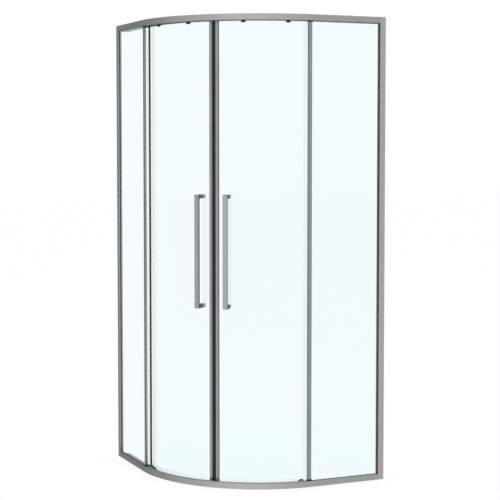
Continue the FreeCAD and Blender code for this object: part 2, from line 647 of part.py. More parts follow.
# Handles: square D bars of satin metal on washers, held by screws from inside through the glass
bar_front = DOOR_FRONT - HANDLE_REACH
foot_end = DOOR_FRONT - WASHER
handle_span = (STRAIGHT - HANDLE_WIDTH / 2, STRAIGHT + HANDLE_WIDTH / 2)
handle_top = HANDLE_BOTTOM + HANDLE_LENGTH
handle = block(handle_span, (bar_front, foot_end), (HANDLE_BOTTOM, handle_top))
finger_room = (HANDLE_BOTTOM + HANDLE_FOOT, handle_top - HANDLE_FOOT)
handle = handle.cut(block((0, WIDTH), (bar_front + HANDLE_BAR, DOOR_FRONT), finger_room))
handle = eased(handle, HANDLE_EDGE, lambda middle: middle.y < foot_end - HALF - FIT)
washers = []
pads = []
handle_screws = []
for height in foot_heights:
    slab = (height - HANDLE_FOOT / 2, height + HANDLE_FOOT / 2)
    thread = rod(spot(STRAIGHT, foot_end, height), OUTWARD, HANDLE_THREAD, HANDLE_SCREW + BORE_PLAY)
    handle = handle.cut(thread)
    passage = rod(spot(STRAIGHT, foot_end - GLASS, height), INWARD, 6 * GLASS, BUSH_BORE)
    for inset in ((foot_end, DOOR_FRONT + FIT), (DOOR_BACK - FIT, DOOR_BACK + WASHER)):
        washer = turned(block(handle_span, inset, slab).cut(passage), HANDLE_ANGLE)
        washers.append(washer.cut(ring((DOOR_FRONT - BORE_PLAY, DOOR_BACK + BORE_PLAY), slab, (0, MEETING))))
    bush = rod(spot(STRAIGHT, DOOR_FRONT + FIT, height), INWARD, GLASS - 2 * FIT, BUSH_HOLE - FIT)
    washers.append(turned(bush.cut(passage), HANDLE_ANGLE))
    pad_inset = (DOOR_BACK + WASHER, DOOR_BACK + WASHER + PAD)
    head_seat = spot(STRAIGHT, pad_inset[1] - HEAD_HEIGHT, height)
    pad = eased(
        block(handle_span, pad_inset, slab),
        HANDLE_EDGE,
        lambda middle: middle.y > pad_inset[0] - HALF + FIT,
    )
    pad = pad.cut(passage).cut(rod(head_seat, INWARD, PAD, HANDLE_HEAD + FIT))
    pads.append(turned(pad, HANDLE_ANGLE))
    reach = pad_inset[1] - HEAD_HEIGHT - foot_end + HANDLE_THREAD - WASHER
    shank = rod(head_seat, OUTWARD, reach, HANDLE_SCREW)
    head = rod(head_seat, INWARD, HEAD_HEIGHT - SLIDE, HANDLE_HEAD)
    handle_screws.append(turned(shank.fuse(head).removeSplitter(), HANDLE_ANGLE))
save_pair("handle", turned(handle, HANDLE_ANGLE))
save_pair("handle_washers", *washers)
save_pair("handle_inner_pads", *pads)
save_pair("handle_screws", *handle_screws)

# Hangers: clamps on the door's top edge with a stem up through the track's slot
hangers = []
axles = []
for angle, place in zip(HANGER_ANGLES, ("trailing", "leading")):
    clamp_span = (STRAIGHT - CLAMP_LENGTH / 2, STRAIGHT + CLAMP_LENGTH / 2)
    clamp_inset = (DOOR_FRONT - CLAMP_SKIN, DOOR_BACK + CLAMP_SKIN)
    clamp = block(clamp_span, clamp_inset, (DOOR_TOP - CLAMP_DROP, PROFILE_TOP))
    stem_span = (STRAIGHT - STEM_LENGTH / 2, STRAIGHT + STEM_LENGTH / 2)
    stem_inset = (DOOR_INSET - STEM_THICK / 2, DOOR_INSET + STEM_THICK / 2)
    stem = block(stem_span, stem_inset, (DOOR_TOP + FIT, AXLE_HEIGHT))
    axle_middle = spot(STRAIGHT, DOOR_INSET, AXLE_HEIGHT)
    crown = rod(axle_middle + OUTWARD * (STEM_THICK / 2), INWARD, STEM_THICK, STEM_LENGTH / 2)
    bore = rod(axle_middle + OUTWARD * STEM_THICK, INWARD, 2 * STEM_THICK, AXLE_RADIUS + BORE_PLAY / 2)
    hanger = clamp.fuse([stem, crown]).removeSplitter().cut(bore)
    hangers.append(turned(hanger, angle).cut(door_room))

    wheel_face = WHEEL_OFFSET + WHEEL_WIDTH / 2
    axle_reach = wheel_face + RUN
    axle = rod(axle_middle + OUTWARD * axle_reach, INWARD, 2 * axle_reach, AXLE_RADIUS)
    wheels = []
    for side in (OUTWARD, INWARD):
        rivet = rod(axle_middle + side * axle_reach, side, AXLE_HEAD_WIDTH, AXLE_HEAD)
        axle = axle.fuse(rivet)
        tread = rod(axle_middle + side * (WHEEL_OFFSET - WHEEL_WIDTH / 2), side, WHEEL_WIDTH, WHEEL_RADIUS)
        tread = tread.makeChamfer(WHEEL_CHAMFER, [edge for edge in tread.Edges if edge.Length > WHEEL_RADIUS])
        hub_start = STEM_THICK / 2 + RUN
        hub = rod(axle_middle + side * hub_start, side, wheel_face - hub_start, HUB_RADIUS)
        wheel_bore = rod(axle_middle, side, 2 * wheel_face, AXLE_RADIUS + BORE_PLAY)
        wheels.append(turned(tread.fuse(hub).removeSplitter().cut(wheel_bore), angle))
    axles.append(turned(axle.removeSplitter(), angle))
    save_pair("top_roller_" + place, *wheels)
save_pair("roller_hangers", *hangers)
save_pair("roller_axles", *axles)

# Bottom rollers: a tyred wheel in the gutter, on a shoe clamped to the door's lower edge
shoe = block(
    (STRAIGHT - SHOE_LENGTH / 2, STRAIGHT + SHOE_LENGTH / 2),
    (DOOR_FRONT - CLAMP_SKIN, DOOR_BACK + CLAMP_SKIN),
    (DOOR_BOTTOM - SHOE_UNDER, SHOE_HEIGHT),
)
foot_middle = spot(STRAIGHT, FOOT_ROLLER_INSET, FOOT_AXLE_HEIGHT)
pin_end = DOOR_FRONT - 2 * FIT
pin_reach = pin_end - FOOT_ROLLER_INSET
pin_head = FOOT_ROLLER_WIDTH / 2 + RUN
pin = rod(foot_middle + OUTWARD * pin_head, INWARD, pin_head + pin_reach, AXLE_RADIUS)
pin = pin.fuse(rod(foot_middle + OUTWARD * pin_head, OUTWARD, AXLE_HEAD_WIDTH, AXLE_HEAD)).removeSplitter()
pin_hole = rod(foot_middle, INWARD, pin_reach + FIT, AXLE_RADIUS + BORE_PLAY / 2)
shoe = turned(shoe.cut(pin_hole), FOOT_ROLLER_ANGLE).cut(door_room)
save_pair("bottom_roller_shoe", shoe)
save_pair("bottom_roller_pin", turned(pin, FOOT_ROLLER_ANGLE))

foot_edge = foot_middle + OUTWARD * (FOOT_ROLLER_WIDTH / 2)
tyre = rod(foot_edge, INWARD, FOOT_ROLLER_WIDTH, FOOT_ROLLER_RADIUS)
tyre = tyre.makeFillet(2 * WHEEL_CHAMFER, [edge for edge in tyre.Edges if edge.Length > FOOT_ROLLER_WIDTH])
tyre = tyre.cut(rod(foot_edge, INWARD, FOOT_ROLLER_WIDTH, FOOT_HUB_RADIUS))
foot_hub = rod(foot_edge, INWARD, FOOT_ROLLER_WIDTH, FOOT_HUB_RADIUS)
foot_hub = foot_hub.cut(rod(foot_edge, INWARD, FOOT_ROLLER_WIDTH, AXLE_RADIUS + BORE_PLAY))
save_pair("bottom_roller_tyre", turned(tyre, FOOT_ROLLER_ANGLE))
save_pair("bottom_roller_hub", turned(foot_hub, FOOT_ROLLER_ANGLE))

# Guide shoes: low sliders that keep the doors' leading corners in the gutter
guide = block(
    (STRAIGHT - GUIDE_LENGTH / 2, STRAIGHT + GUIDE_LENGTH / 2),
    (DOOR_FRONT - GUIDE_SKIN, DOOR_BACK + GUIDE_SKIN),
    (WALL + GUIDE_LIFT, GUIDE_TOP),
)
save_pair("bottom_guide_shoe", turned(guide, GUIDE_ANGLE).cut(door_room))
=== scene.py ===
import math

import bmesh
import bpy
import numpy as np
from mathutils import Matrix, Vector


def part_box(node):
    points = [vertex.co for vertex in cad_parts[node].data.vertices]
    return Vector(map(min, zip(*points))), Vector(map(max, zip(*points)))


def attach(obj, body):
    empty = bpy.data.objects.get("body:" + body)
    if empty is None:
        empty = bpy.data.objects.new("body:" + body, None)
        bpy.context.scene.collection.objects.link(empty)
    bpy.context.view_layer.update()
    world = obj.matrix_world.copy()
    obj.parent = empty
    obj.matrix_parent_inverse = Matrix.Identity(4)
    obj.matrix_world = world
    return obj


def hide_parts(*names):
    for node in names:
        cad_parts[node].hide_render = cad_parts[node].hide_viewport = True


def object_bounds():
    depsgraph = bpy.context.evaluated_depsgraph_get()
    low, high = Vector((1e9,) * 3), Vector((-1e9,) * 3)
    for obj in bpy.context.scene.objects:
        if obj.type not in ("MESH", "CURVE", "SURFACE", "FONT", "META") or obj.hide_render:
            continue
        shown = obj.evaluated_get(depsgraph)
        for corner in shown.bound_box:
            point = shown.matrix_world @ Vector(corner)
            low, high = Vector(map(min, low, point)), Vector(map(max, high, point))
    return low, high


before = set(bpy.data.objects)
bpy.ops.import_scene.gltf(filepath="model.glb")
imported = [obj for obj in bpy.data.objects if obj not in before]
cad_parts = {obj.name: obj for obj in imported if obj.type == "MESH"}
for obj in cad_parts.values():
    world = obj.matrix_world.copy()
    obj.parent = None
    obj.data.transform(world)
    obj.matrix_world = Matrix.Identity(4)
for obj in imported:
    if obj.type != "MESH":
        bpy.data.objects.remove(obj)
cad_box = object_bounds()

# Wall channels: plain U sections of mill aluminium, sawn to length and screwed to the two walls.
# They show only at the open back, where faint lines from the extrusion die run up the metal.
mm = 0.001
mill_dark = (0.40, 0.40, 0.41)
mill_light = (0.52, 0.52, 0.53)
upright_lines = (650.0, 650.0, 3.0)
line_detail = 4.0
line_strength = 0.2
line_depth = 0.03 * mm
cloud_scale = 8.0
cloud_detail = 2.0
cloud_share = 0.5
noise_middle = (0.3, 0.7)


def feed(finish, node, inputs):
    """Set a node's sockets: each input is a constant, or another node's output to link."""
    for socket, value in inputs.items():
        if isinstance(value, bpy.types.NodeSocket):
            finish.node_tree.links.new(value, node.inputs[socket])
        else:
            node.inputs[socket].default_value = value


def add_node(finish, kind, inputs, **settings):
    """A new node in a finish, with its settings made and its sockets fed."""
    node = finish.node_tree.nodes.new("ShaderNode" + kind)
    for setting, value in settings.items():
        setattr(node, setting, value)
    feed(finish, node, inputs)
    return node


def worked_out(finish, operation, *terms, **settings):
    """One operation, such as a product, on numbers or on other nodes' outputs."""
    node = add_node(finish, "Math", dict(enumerate(terms)), operation=operation, **settings)
    return node.outputs["Value"]


def noise(finish, place, scale, detail):
    """A number between 0 and 1 that wanders over the surface, faster at a larger scale."""
    inputs = {"Vector": place, "Scale": scale, "Detail": detail}
    return add_node(finish, "TexNoise", inputs).outputs["Fac"]


def raised(finish, amount, strength, depth):
    """The surface's direction where the amount stands up from it by at most this depth."""
    inputs = {"Height": amount, "Strength": strength, "Distance": depth}
    return add_node(finish, "Bump", inputs).outputs["Normal"]


def banded(finish, amount, low, high):
    """A number that runs from low to high while the amount runs over the middle of its range."""
    start, end = noise_middle
    band = {"Value": amount, "From Min": start, "From Max": end, "To Min": low, "To Max": high}
    return add_node(finish, "MapRange", band).outputs["Result"]


def toned(finish, amount, dark, light):
    """A colour that runs from dark to light while the amount runs over the middle of its range."""
    ramp = add_node(finish, "ValToRGB", {"Fac": amount})
    for stop, position, colour in zip(ramp.color_ramp.elements, noise_middle, (dark, light)):
        stop.position = position
        stop.color = (*colour, 1.0)
    return ramp.outputs["Color"]


def blank_finish(name, constants):
    """A new material and its main shader, which keeps these constants on its own sockets."""
    finish = bpy.data.materials.new(name)
    finish.use_nodes = True
    shader = finish.node_tree.nodes["Principled BSDF"]
    feed(finish, shader, constants)
    return finish, shader


def drawn_metal(name, dark, light, lines, sheen, coordinates="Object"):
    """Drawn metal. Noise pulled out along the length gives die lines in tone, sheen and height,
    and a broad noise clouds the tone. Lines holds the noise scale along each coordinate."""
    finish, shader = blank_finish(name, {"Metallic": 1.0})
    place = add_node(finish, "TexCoord", {}).outputs[coordinates]
    pulled = add_node(finish, "Mapping", {"Vector": place, "Scale": lines}).outputs["Vector"]
    streak = noise(finish, pulled, scale=1.0, detail=line_detail)
    cloud = noise(finish, place, cloud_scale, cloud_detail)
    streak_part = worked_out(finish, "MULTIPLY", streak, 1 - cloud_share)
    tone = worked_out(finish, "MULTIPLY_ADD", cloud, cloud_share, streak_part)
    feed(finish, shader, {
        "Base Color": toned(finish, tone, dark, light),
        "Roughness": banded(finish, streak, *sheen),
        "Normal": raised(finish, streak, line_strength, line_depth),
    })
    return finish


def dress(finish, *nodes):
    """Give construction nodes that keep their own shape a finish."""
    for node in nodes:
        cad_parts[node].data.materials.clear()
        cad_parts[node].data.materials.append(finish)


mill_metal = drawn_metal("mill_aluminium", mill_dark, mill_light, upright_lines, sheen=(0.34, 0.5))
dress(mill_metal, "wall_channel_right", "wall_channel_left")

# Side stiles: hollow aluminium posts, extruded, satin anodised, and slid over the wall channels.
# The fixed glass stands in their pockets, with a longer leg behind it than before it, and the rails
# are screwed to their webs.
stile_dark = (0.42, 0.42, 0.425)
stile_light = (0.475, 0.475, 0.48)
satin_sheen = (0.3, 0.4)
satin_post = drawn_metal("satin_aluminium_post", stile_dark, stile_light, upright_lines, satin_sheen)
dress(satin_post, "side_stile_right", "side_stile_left")

# Caps on the stiles: grey plastic mouldings with soft upper edges, pushed into the posts' open tops.
# A tongue under each plate drops into the wall channel.
sides = (("right", False), ("left", True))
half_width = cad_box[1].x
height = cad_box[1].z
bend_radius = 550 * mm
bend_axis = bend_radius - half_width
straight = 2 * half_width - bend_radius
lip = 5.5 * mm
sheet_thick = 6 * mm
gasket_thick = 1.5 * mm
wall = 1.6 * mm
slide = 0.3 * mm
hairline = 0.05 * mm
pocket_back = lip + sheet_thick + 2 * gasket_thick
stile_width = 26 * mm
stile_depth = pocket_back + lip
cap_thick = 1.6 * mm
cap_corner = 0.8 * mm
cap_ease = 0.6 * mm
tongue_reach = 5.7 * mm
tongue_along = (wall + slide, tongue_reach)
tongue_side = 2 * (wall + slide)
tongue_drop = 4 * cap_thick
grey_dark = (0.24, 0.245, 0.25)
grey_light = (0.30, 0.305, 0.31)
grain_detail = 3.0
grain_strength = 0.25
grain_depth = 0.05 * mm
shade_scale = 40.0
shade_detail = 3.0
corner_points = 5
ease_rings = 4
weld = 0.001 * mm
crisp_angle = math.radians(35)


def moulded(name, dark, light, sheen, grain, constants=()):
    """Moulded plastic or rubber. Fine noise is the grain of the tool in height and sheen, and a
    broad noise shifts the tone a little."""
    finish, shader = blank_finish(name, dict(constants))
    place = add_node(finish, "TexCoord", {}).outputs["Object"]
    fine = noise(finish, place, grain, grain_detail)
    broad = noise(finish, place, shade_scale, shade_detail)
    feed(finish, shader, {
        "Base Color": toned(finish, broad, dark, light),
        "Roughness": banded(finish, fine, *sheen),
        "Normal": raised(finish, fine, grain_strength, grain_depth),
    })
    return finish


def on_front(along, inset, upward, turn=0.0, left=False):
    """A point of the right-hand half from its run past the start of the bend, its depth behind the
    outer face and its height, then turned about the bend's axis. Left-hand twins swap X and Y."""
    reach = bend_radius - inset
    x = bend_axis - along * np.cos(turn) - reach * np.sin(turn)
    y = bend_axis + along * np.sin(turn) - reach * np.cos(turn)
    return np.stack(np.broadcast_arrays(*((y, x) if left else (x, y)), upward), axis=-1)


def by_wall(along, inset, upward, left):
    """A point of a flat side from its run out from the wall, its depth and its height."""
    return on_front(along - straight, inset, upward, left=left)


def outline(corners, drawn_in=0.0, steps=corner_points):
    """A closed outline through corners (a, b, radius), drawn in evenly all round. Each corner is an
    arc that touches both its sides. Drawing in shifts every side inwards by the same amount, so an
    outward corner's radius shrinks by it and an inward corner's radius grows by it."""
    corners = np.array(corners, float)
    point, radius = corners[:, :2], corners[:, 2:]
    into = point - np.roll(point, 1, axis=0)
    into = into / np.linalg.norm(into, axis=1, keepdims=True)
    out_of = np.roll(into, -1, axis=0)
    straightness = (into * out_of).sum(axis=1, keepdims=True)
    turn = np.arctan2(into[:, :1] * out_of[:, 1:] - into[:, 1:] * out_of[:, :1], straightness)
    facing = np.sign(turn.sum())
    inward = facing * np.stack((-into[:, 1], into[:, 0]), axis=1)
    inward_next = np.roll(inward, -1, axis=0)
    shifted = point + drawn_in * (inward + inward_next) / (1 + straightness)
    bulge = facing * np.sign(turn)
    radius = np.maximum(radius - drawn_in * bulge, 0)
    centre = shifted - into * radius * np.tan(np.abs(turn) / 2) + inward * bulge * radius
    swing = (np.abs(turn) * np.linspace(0, 1, steps))[..., None]
    arm = into[:, None] * np.sin(swing) - (inward * bulge)[:, None] * np.cos(swing)
    return (centre[:, None] + radius[:, None] * arm).reshape(-1, 2)


def box_corners(a, b, radius=0.0):
    """The four corners of a rectangle between two pairs of limits."""
    return [(a[0], b[0], radius), (a[1], b[0], radius), (a[1], b[1], radius), (a[0], b[1], radius)]


def slab(corners, span, ease=0.0, between=(), steps=corner_points):
    """Rings of a prism with softened ends, as the two outline coordinates and the depth. Along a
    quarter circle at each end the outline is drawn in by ease times one less the sine, while the
    depth moves by ease times one less the cosine. Between holds further depths to have rings at."""
    swing = np.linspace(0, math.pi / 2, ease_rings if ease else 1)
    depth = ease * (1 - np.cos(swing))
    drawn = ease * (1 - np.sin(swing))
    depths = np.concatenate((span[0] + depth, between, span[1] - depth[::-1]))
    drawns = np.concatenate((drawn, np.zeros(len(between)), drawn[::-1]))
    rings = np.array([outline(corners, draw, steps) for draw in drawns])
    return rings[..., 0], rings[..., 1], np.broadcast_to(depths[:, None], rings.shape[:2])


def raw_object(name, shells, looped=False):
    """An object from shells of rings. Quads join each ring to the next one round, and the end rings
    are filled, or joined to each other where the shell is looped. Its UV map unrolls each shell:
    U is the run from ring to ring and V the run round a ring, both in metres."""
    points, faces, unrolled = [], [], []
    start = 0
    for rings in shells:
        count, around = rings.shape[:2]
        index = start + np.arange(count * around).reshape(count, around)
        here = index if looped else index[:-1]
        there = np.roll(index, -1, axis=0) if looped else index[1:]
        quads = np.stack((here, np.roll(here, -1, 1), np.roll(there, -1, 1), there), axis=-1)
        step = np.linalg.norm(np.roll(rings, -1, axis=0) - rings, axis=2).mean(axis=1)
        girth = np.linalg.norm(np.roll(rings, -1, axis=1) - rings, axis=2).mean(axis=0)
        u, v = (np.concatenate(([0.0], np.cumsum(run))) for run in (step, girth))
        uv = np.stack(np.meshgrid(u, v, indexing="ij"), axis=-1)
        corners = np.stack((uv[:-1, :-1], uv[:-1, 1:], uv[1:, 1:], uv[1:, :-1]), axis=2)
        points.append(rings.reshape(-1, 3))
        faces += quads.reshape(-1, 4).tolist()
        unrolled.append(corners[:len(here)].reshape(-1, 2))
        if not looped:
            faces += [index[0][::-1].tolist(), index[-1].tolist()]
            unrolled.append(np.zeros((2 * around, 2)))
        start += count * around
    mesh = bpy.data.meshes.new(name)
    mesh.from_pydata(np.concatenate(points), [], faces)
    layer = mesh.uv_layers.new(name="unrolled")
    layer.data.foreach_set("uv", np.concatenate(unrolled).astype(np.float32).ravel())
    piece = bpy.data.objects.new(name, mesh)
    bpy.context.scene.collection.objects.link(piece)
    merged = bmesh.new()
    merged.from_mesh(mesh)
    bmesh.ops.remove_doubles(merged, verts=merged.verts, dist=weld)
    bmesh.ops.recalc_face_normals(merged, faces=merged.faces)
    merged.to_mesh(mesh)
    merged.free()
    return piece


def fitted(piece, finish, body, slot, *stands_for):
    """Shade a piece smoothly between its crisp edges, finish it, fix it to its body, and hide the
    construction nodes it stands for."""
    piece.data.shade_smooth()
    piece.data.set_sharp_from_angle(angle=crisp_angle)
    piece.modifiers.new("even_shading", "WEIGHTED_NORMAL").keep_sharp = True
    piece.data.materials.append(finish)
    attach(piece, body)
    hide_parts(*stands_for)


grey_plastic = moulded("grey_moulding", grey_dark, grey_light, sheen=(0.42, 0.55), grain=900.0)
cap_plate = box_corners((0, stile_width), (0, stile_depth), cap_corner)
plate_up = (height - cap_thick, height)
cap_tongue = box_corners(tongue_along, (tongue_side, stile_depth - tongue_side))
tongue_up = (height - tongue_drop, height - cap_thick - hairline)
cap_shells = []
for side, left in sides:
    for plan, span, ease in ((cap_plate, plate_up, cap_ease), (cap_tongue, tongue_up, hairline)):
        cap_shells.append(by_wall(*slab(plan, span, ease), left))
fitted(raw_object("stile_caps", cap_shells), grey_plastic, "frame", "grey_plastic", "stile_top_caps")

# Stile screws: small stainless screws driven from inside through stile and wall channel.
# A round grey plastic cover snaps over each head.
steel_dark = (0.46, 0.46, 0.45)
steel_light = (0.60, 0.60, 0.59)
turned_lines = (900.0, 900.0, 900.0)
steel = drawn_metal("stainless_steel", steel_dark, steel_light, turned_lines, sheen=(0.2, 0.34))
dress(steel, "stile_fixing_screws")
dress(grey_plastic, "stile_screw_covers")

# Rails: two bent aluminium extrusions that tie the stiles together round the front. Both hold the
# fixed glass in a pocket; the top one carries the roller track, the bottom one a gutter and a sill.
rail_height = 25 * mm
rail_start = 2 * mm
pocket_roof = 10 * mm
sill = 7 * mm
door_plane = 38 * mm
track_half = 18 * mm
slot_half = 7.5 * mm
soft = 0.8 * mm
crisp = 0.25 * mm
bend_rings = 73
satin_dark = (0.375, 0.375, 0.38)
satin_light = (0.425, 0.425, 0.43)
rail_lines = (3.0, 650.0, 1.0)
rail_underside = height - rail_height
web_back = pocket_back + wall
inner_face = door_plane + track_half
rail_depth = inner_face + wall
shelf = rail_height - wall
slot_front = door_plane - slot_half
slot_back = door_plane + slot_half
tail_inset = stile_depth + slide
pocket_side = [
    (pocket_back, rail_height, crisp),
    (pocket_back, pocket_roof, 0),
    (lip, pocket_roof, 0),
    (lip, rail_height, soft),
    (0, rail_height, soft),
    (0, 0, soft),
]
track_wall = [
    (rail_depth, 0, soft),
    (rail_depth, rail_height, crisp),
    (slot_back, rail_height, crisp),
    (slot_back, shelf, crisp),
    (inner_face, shelf, 0),
    (inner_face, wall, 0),
]
front_shelf = [
    (web_back, wall, 0),
    (web_back, shelf, 0),
    (slot_front, shelf, crisp),
    (slot_front, rail_height, crisp),
]
gutter_wall = [
    (rail_depth, 0, crisp),
    (rail_depth, sill, crisp),
    (inner_face, sill, crisp),
    (inner_face, wall, 0),
]
web_top = [(web_back, wall, 0), (web_back, rail_height, crisp)]
tail_edge = [(tail_inset, wall, 0), (tail_inset, 0, 0)]
top_tails = (tail_edge + track_wall, box_corners((tail_inset, slot_front), (shelf, rail_height)))
bottom_tails = (tail_edge + gutter_wall,)
tail_span = (rail_start, stile_width - hairline)
rail_reach = straight - stile_width
bend_run = bend_radius * math.pi / 2
rail_span = (-rail_reach, bend_run + rail_reach)
bend_stations = np.linspace(0, bend_run, bend_rings)


def rail_level(place, depth):
    """A height from a depth measured from the outer edge of the top or the bottom rail."""
    return height - depth if place == "top" else depth


satin_rail = drawn_metal("satin_aluminium_rail", satin_dark, satin_light, rail_lines, satin_sheen, "UV")
for place, section, tails in (
    ("top", pocket_side + track_wall + front_shelf, top_tails),
    ("bottom", pocket_side + gutter_wall + web_top, bottom_tails),
):
    inset, depth, run = slab(section, rail_span, between=bend_stations)
    bent = np.clip(run, 0, bend_run)
    shells = [on_front(run - bent, inset, rail_level(place, depth), bent / bend_radius)]
    for side, left in sides:
        for tail in tails:
            inset, depth, along = slab(tail, tail_span)
            shells.append(by_wall(along, inset, rail_level(place, depth), left))
    rail = raw_object(place + "_rail_bent", shells)
    fitted(rail, satin_rail, "frame", "satin_aluminium", place + "_rail")

# Rail end caps are flat grey plastic plates beside the wall. Long stainless screws pass through each
# stile's web into the screw ports of the rails.
dress(grey_plastic, "rail_end_caps")
dress(steel, "rail_joint_screws")

# Pocket infills: grey plastic U strips that snap into the empty glass pocket round the bend, so that
# the rails look closed between the two fixed panels.
infill_fit = 0.3 * mm
infill_leg = 7 * mm
infill_skin = 1.2 * mm
infill_start = math.radians(3.2)
infill_rings = 70
infill_ends = (infill_start, math.pi / 2 - infill_start)
infill_front = lip + infill_fit
infill_back = pocket_back - infill_fit
infill_section = [
    (infill_front, rail_height, soft),
    (infill_back, rail_height, soft),
    (infill_back, rail_height - infill_leg, crisp),
    (infill_back - infill_skin, rail_height - infill_leg, crisp),
    (infill_back - infill_skin, rail_height - infill_skin, 0),
    (infill_front + infill_skin, rail_height - infill_skin, 0),
    (infill_front + infill_skin, rail_height - infill_leg, crisp),
    (infill_front, rail_height - infill_leg, crisp),
]
infill_stations = np.linspace(*infill_ends, infill_rings)[1:-1]
for place in ("top", "bottom"):
    inset, depth, turn = slab(infill_section, infill_ends, between=infill_stations)
    rings = on_front(0, inset, rail_level(place, depth), turn)
    strip = raw_object(place + "_infill_strip", [rings])
    fitted(strip, grey_plastic, "frame", "grey_plastic", place + "_pocket_infill")

# Fixed glass: a flat toughened sheet beside each wall, its edges ground and arrised before tempering.
# It stands on rubber setting blocks in the bottom rail.
arris = 0.8 * mm
sheet_corner = 2 * mm
clear_tint = (0.885, 0.973, 0.993)
passing_tint = (0.94, 0.986, 0.996)
edge_tint = (0.42, 0.72, 0.66)
glass_constants = {"Roughness": 0.0, "IOR": 1.5, "Transmission Weight": 1.0}
wave_scale = 5.0
wave_detail = 1.0
wave_strength = 0.1
wave_depth = 0.3 * mm


def limits_of(node):
    """Where a node of the right-hand flat side lies: its run from the wall, depth and height."""
    low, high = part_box(node)
    along = (half_width - high.x, half_width - low.x)
    inset = (low.y + half_width, high.y + half_width)
    return along, inset, (low.z, high.z)


def clear_glass(name, face_tint, rim_tint, light_tint):
    """Clear glass. The rim attribute shifts its tint from the faces' to the edges', and a slow noise
    makes its surface wander. Light from lamps or other pieces passes straight through it."""
    finish, shader = blank_finish(name, glass_constants)
    place = add_node(finish, "TexCoord", {}).outputs["Object"]
    rim = add_node(finish, "Attribute", {}, attribute_name="rim").outputs["Fac"]
    slow = noise(finish, place, wave_scale, wave_detail)
    feed(finish, shader, {
        "Base Color": toned(finish, rim, face_tint, rim_tint),
        "Normal": raised(finish, slow, wave_strength, wave_depth),
    })
    passing = add_node(finish, "BsdfTransparent", {"Color": (*light_tint, 1.0)}).outputs["BSDF"]
    path = add_node(finish, "LightPath", {}).outputs
    through = worked_out(finish, "MAXIMUM", path["Is Shadow Ray"], path["Is Reflection Ray"])
    choice = add_node(finish, "MixShader", {0: through, 1: shader.outputs["BSDF"], 2: passing})
    feed(finish, finish.node_tree.nodes["Material Output"], {"Surface": choice.outputs["Shader"]})
    return finish


def mark_rim(piece, depth, span):
    """Store how near each vertex is to the sheet's ground edge: one within it, none on the faces."""
    from_face = np.minimum(depth - span[0], span[1] - depth)
    rim = piece.data.attributes.new("rim", "FLOAT", "POINT")
    rim.data.foreach_set("value", np.clip(from_face / arris, 0, 1).astype(np.float32))


def vertices_of(piece):
    """A piece's vertices as rows of an array."""
    flat = np.zeros(3 * len(piece.data.vertices))
    piece.data.vertices.foreach_get("co", flat)
    return flat.reshape(-1, 3)


glass = clear_glass("clear_glass", clear_tint, edge_tint, passing_tint)
fixed_along, fixed_inset, fixed_up = limits_of("fixed_glass_right")
fixed_outline = box_corners(fixed_along, fixed_up, sheet_corner)
for side, left in sides:
    along, upward, inset = slab(fixed_outline, fixed_inset, arris)
    sheet = raw_object("fixed_pane_" + side, [by_wall(along, inset, upward, left)])
    mark_rim(sheet, vertices_of(sheet)[:, 0 if left else 1] + half_width, fixed_inset)
    fitted(sheet, glass, "frame", "clear_glass", "fixed_glass_" + side)

# Glazing gaskets: dark rubber strips pressed in on both faces of the fixed glass, along the stile and
# both rails. Their rounded beads stand proud of the stile, and almost flush with the rails.
gasket_proud = 1.6 * mm
rail_bead_proud = 0.2 * mm
rear_leg = 4 * mm
gasket_grip = 9 * mm
bead = 0.7 * mm
rubber_dark = (0.05, 0.05, 0.052)
rubber_light = (0.085, 0.085, 0.088)
gasket_start = fixed_along[0]
gasket_stop = straight - gasket_proud
grip = rail_height - gasket_grip
proud = rail_height + rail_bead_proud
rubber = moulded("dark_rubber", rubber_dark, rubber_light, sheen=(0.55, 0.7), grain=700.0)
dress(rubber, "glass_setting_blocks")
for side, left in sides:
    shells = []
    for leg, front, back in ((0.0, lip, fixed_inset[0]), (rear_leg, fixed_inset[1], pocket_back)):
        gasket_end = stile_width + leg + gasket_proud
        post = [
            (gasket_start, front, 0),
            (gasket_end, front, bead),
            (gasket_end, back, bead),
            (gasket_start, back, 0),
        ]
        shells.append(by_wall(*slab(post, (rail_height, rail_underside)), left))
        strip = [(front, grip, 0), (front, proud, bead), (back, proud, bead), (back, grip, 0)]
        inset, depth, along = slab(strip, (gasket_end + hairline, gasket_stop))
        for place in ("bottom", "top"):
            shells.append(by_wall(along, inset, rail_level(place, depth), left))
    gaskets = raw_object("glazing_gaskets_" + side, shells)
    fitted(gaskets, rubber, "frame", "dark_gasket", "fixed_glass_gaskets_" + side)

# Edge strips: satin aluminium U sections pushed over the free edge of each fixed glass. Black plastic
# end blocks close them at both rails, slotted over the glass, with a plug into the pocket.
fit = 0.1 * mm
block_overhang = 3 * mm
block_lip = 0.9 * mm
block_corner = 1.6 * mm
plug_length = 4.5 * mm
plug_room = 0.8 * mm
plug_depth = 11 * mm
trim_dark = (0.30, 0.30, 0.304)
trim_light = (0.35, 0.35, 0.354)
black_dark = (0.012, 0.012, 0.013)
black_light = (0.026, 0.026, 0.028)


def widened(span, by):
    """A pair of limits moved apart by this much at each end."""
    return span[0] - by, span[1] + by


